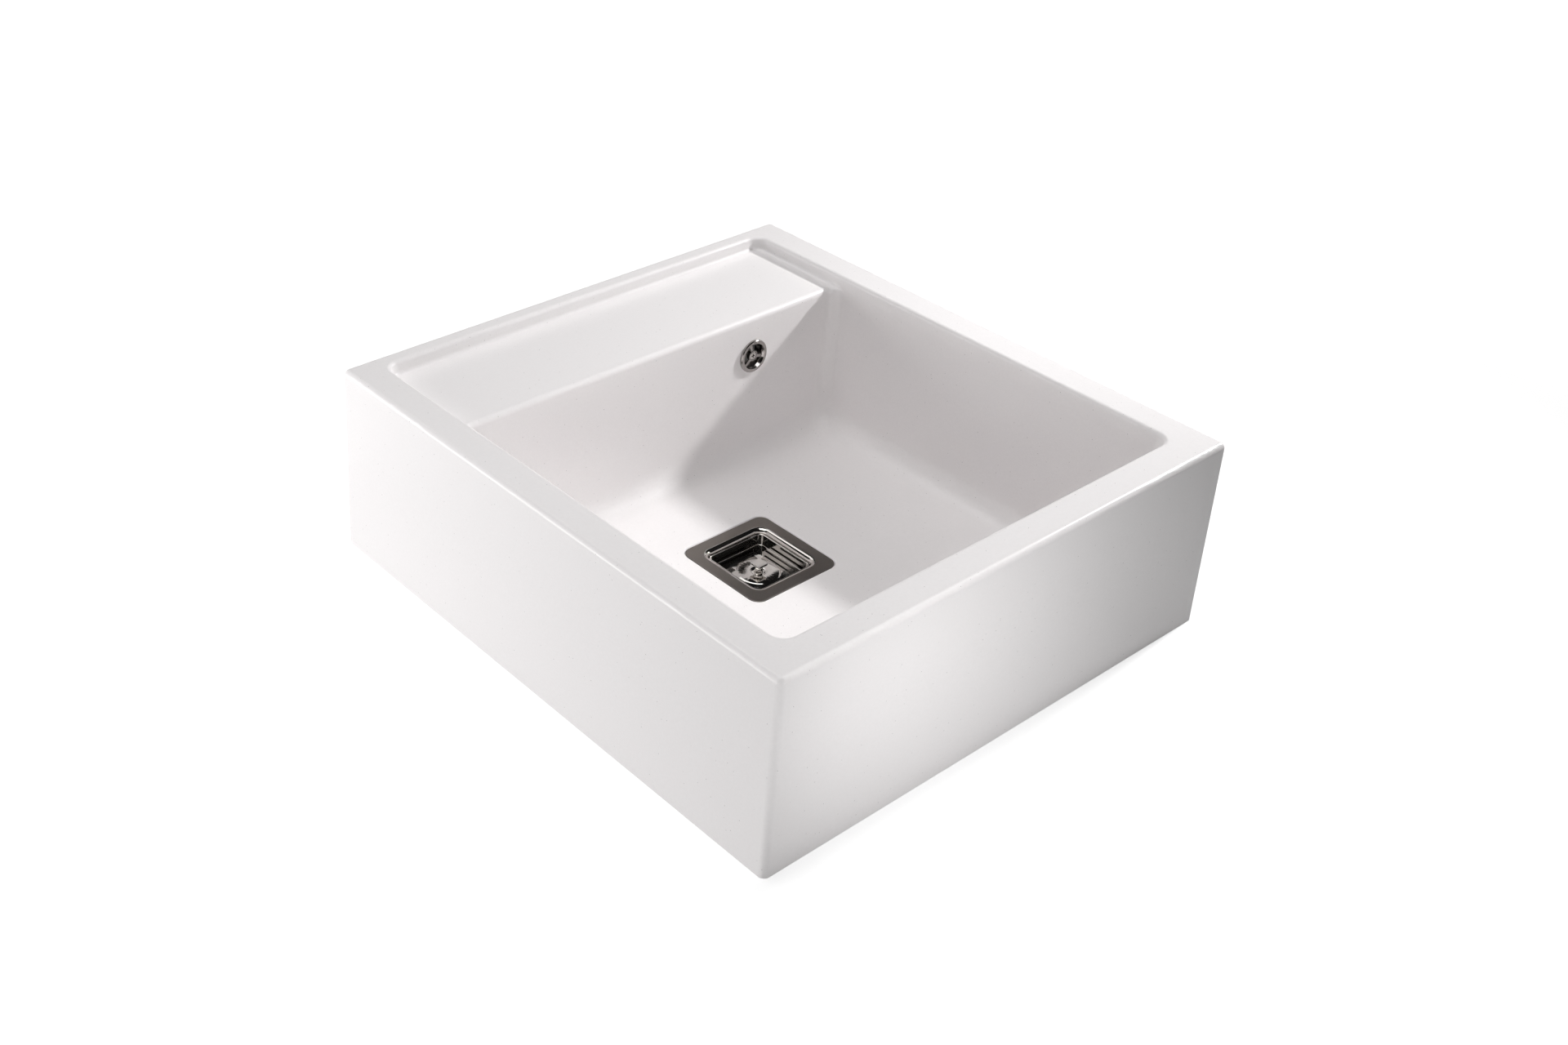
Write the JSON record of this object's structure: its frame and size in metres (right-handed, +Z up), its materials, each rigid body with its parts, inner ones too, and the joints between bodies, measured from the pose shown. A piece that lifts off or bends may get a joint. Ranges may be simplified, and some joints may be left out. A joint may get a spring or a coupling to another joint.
{
  "type": "kitchen sink",
  "caption": "Apron-front composite kitchen sink with a tap ledge, a square basket waste with a lift-out strainer, and a round overflow with its hose.",
  "frame": {"origin": "centre of the plane that the skirts stand on", "axes": "+X to the right seen from the apron, +Y from the apron to the back, +Z up"},
  "size_m": [0.6, 0.64, 0.271],
  "materials": {
    "granite_composite": "satin, fine granite grain with sparse dark specks",
    "brushed_steel": "fine circular brushing",
    "polished_steel": "mirror polished stainless steel",
    "seal_rubber": "matt moulded rubber",
    "waste_plastic": "moulded polypropylene, satin",
    "nut_plastic": "moulded plastic, slightly glossy",
    "hose_plastic": "ribbed polypropylene",
    "insert_brass": "machined brass"
  },
  "bodies": {
    "sink": {"sink_body": "granite_composite", "waste_flange": "brushed_steel", "flange_seal": "seal_rubber", "waste_screw": "polished_steel", "screw_washer": "brushed_steel", "screw_insert": "insert_brass", "waste_body": "waste_plastic", "body_seal": "seal_rubber", "overflow_rosette": "brushed_steel", "overflow_screw": "polished_steel", "overflow_seal": "seal_rubber", "overflow_elbow": "waste_plastic", "overflow_insert": "insert_brass", "overflow_hose": "hose_plastic", "hose_nut_upper": "nut_plastic", "hose_nut_lower": "nut_plastic", "hose_seal_upper": "seal_rubber", "hose_seal_lower": "seal_rubber"},
    "basket": {"strainer_basket": "polished_steel", "basket_knob": "polished_steel", "basket_stem": "polished_steel", "stem_ring": "seal_rubber", "plug_seal": "seal_rubber", "seal_washer": "nut_plastic"}
  },
  "joints": [
    {"name": "basket_lift", "type": "slide", "parent": "sink", "child": "basket", "axis": [0, 0, 1], "range_m": [0, 0.24]}
  ]
}
